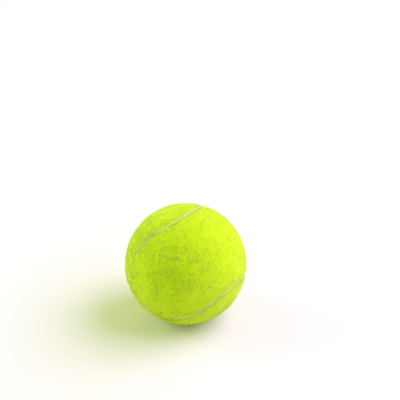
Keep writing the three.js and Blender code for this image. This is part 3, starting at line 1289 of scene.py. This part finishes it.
# %% [markdown]
# ## Floor, light and camera
#
# The ball lies on a white ground that goes on out of sight. Near the ball the floor is a plain pale
# surface, which takes its shadow and its green glow. Farther out it passes into the plain white that a
# camera sees. A wide lamp lights the ball from the upper right, a weaker one from the left, and a sky with
# a tint of the felt's own green fills in the rest. The wide lamp leans to violet to make up for that tint.

# %% Lay the floor and the background
FLOOR_SIZE = 6.0
FLOOR_DROP = 0.2 * MM
FADE_FROM = 0.05
FADE_TO = 0.14


def seen_directly(tree):
    """A socket that is 1 where the camera, a mirror or glass shows the surface, and 0 for its light."""
    path = add_node(tree, "ShaderNodeLightPath")
    first = add_node(tree, "ShaderNodeMath", operation="MAXIMUM")
    both = add_node(tree, "ShaderNodeMath", operation="MAXIMUM")
    tree.links.new(path.outputs["Is Camera Ray"], first.inputs[0])
    tree.links.new(path.outputs["Is Glossy Ray"], first.inputs[1])
    tree.links.new(first.outputs["Value"], both.inputs[0])
    tree.links.new(path.outputs["Is Transmission Ray"], both.inputs[1])
    return both.outputs["Value"]


def floor_material():
    material = bpy.data.materials.new("floor_white")
    material.use_nodes = True
    tree = material.node_tree
    link = tree.links.new
    pale = set_inputs(tree.nodes["Principled BSDF"], Base_Color=(0.88, 0.84, 0.77, 1), Roughness=0.9)
    white = set_inputs(add_node(tree, "ShaderNodeEmission"), Color=(1, 1, 1, 1), Strength=1.0)
    place = add_node(tree, "ShaderNodeTexCoord")
    away = add_node(tree, "ShaderNodeVectorMath", operation="LENGTH")
    fade = add_node(tree, "ShaderNodeMapRange", interpolation_type="SMOOTHSTEP")
    set_inputs(fade, From_Min=FADE_FROM, From_Max=FADE_TO, To_Min=0.0, To_Max=1.0)
    both = add_node(tree, "ShaderNodeMath", operation="MULTIPLY")
    mix = add_node(tree, "ShaderNodeMixShader")
    link(place.outputs["Object"], away.inputs[0])
    link(away.outputs["Value"], fade.inputs["Value"])
    link(fade.outputs["Result"], both.inputs[0])
    link(seen_directly(tree), both.inputs[1])
    link(both.outputs["Value"], mix.inputs["Fac"])
    link(pale.outputs["BSDF"], mix.inputs[1])
    link(white.outputs["Emission"], mix.inputs[2])
    link(mix.outputs["Shader"], tree.nodes["Material Output"].inputs["Surface"])
    return material


bpy.ops.object.select_all(action="DESELECT")
bpy.ops.mesh.primitive_plane_add(size=FLOOR_SIZE, location=(0, 0, -BALL_RADIUS - FLOOR_DROP))
floor = named(bpy.context.object, "floor")
dress([floor], floor_material())
floor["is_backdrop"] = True
print("the floor lies", round((BALL_RADIUS + FLOOR_DROP) / MM, 2), "mm under the ball's centre")

# %% Light the sky
def light_world():
    """A softly tinted sky that lights the ball, and plain white where the camera looks past it."""
    world = bpy.data.worlds.new("studio")
    bpy.context.scene.world = world
    world.use_nodes = True
    tree = world.node_tree
    sky = set_inputs(tree.nodes["Background"], Color=(0.81, 1.0, 0.36, 1), Strength=0.55)
    seen = set_inputs(add_node(tree, "ShaderNodeBackground"), Color=(1, 1, 1, 1), Strength=1.0)
    mix = add_node(tree, "ShaderNodeMixShader")
    tree.links.new(seen_directly(tree), mix.inputs["Fac"])
    tree.links.new(sky.outputs["Background"], mix.inputs[1])
    tree.links.new(seen.outputs["Background"], mix.inputs[2])
    tree.links.new(mix.outputs["Shader"], tree.nodes["World Output"].inputs["Surface"])


light_world()
print("the sky is", bpy.context.scene.world.name)

# %% Hang the lamps
def softbox(name, place, size, watts):
    """A square lamp at a place, turned to the ball."""
    bpy.ops.object.select_all(action="DESELECT")
    bpy.ops.object.light_add(type="AREA", location=place)
    lamp = bpy.context.object
    lamp.name = name
    lamp.data.size = size
    lamp.data.energy = watts
    lamp.rotation_euler = (-Vector(place)).to_track_quat("-Z", "Y").to_euler()
    return lamp


key = softbox("key", place=(0.42, 0.0, 0.42), size=0.60, watts=4.15)
key.data.color = (1.0, 0.8, 1.5)
fill = softbox("fill", place=(-0.50, 0.10, 0.18), size=0.4, watts=1.6)
print("hung", key.name, "and", fill.name)

# %% Set the camera where the photograph was taken from
CAMERA_PLACE = Vector((0.26, -9.63, 5.86)) * BALL_RADIUS
CAMERA_DOWN = math.radians(90 - 25.96)
CAMERA_ROLL = math.radians(-1.31)
LENS = 60.46
SENSOR = 36
NEAREST_SEEN = 0.01
bpy.ops.object.camera_add(location=CAMERA_PLACE)
camera = bpy.context.object
tilt = Euler((CAMERA_DOWN, 0, 0)).to_matrix() @ Euler((0, 0, CAMERA_ROLL)).to_matrix()
camera.rotation_euler = tilt.to_euler()
camera.data.lens = LENS
camera.data.sensor_width = SENSOR
camera.data.clip_start = NEAREST_SEEN
bpy.context.scene.camera = camera
bpy.context.scene.view_settings.view_transform = "Standard"
print("the camera stands", round(CAMERA_PLACE.length / MM), "mm from the ball's centre")

# %% Write down the size of the visual model
low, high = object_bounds()
print("the visual ball is", [round((b - a) / MM, 2) for a, b in zip(low, high)], "mm")
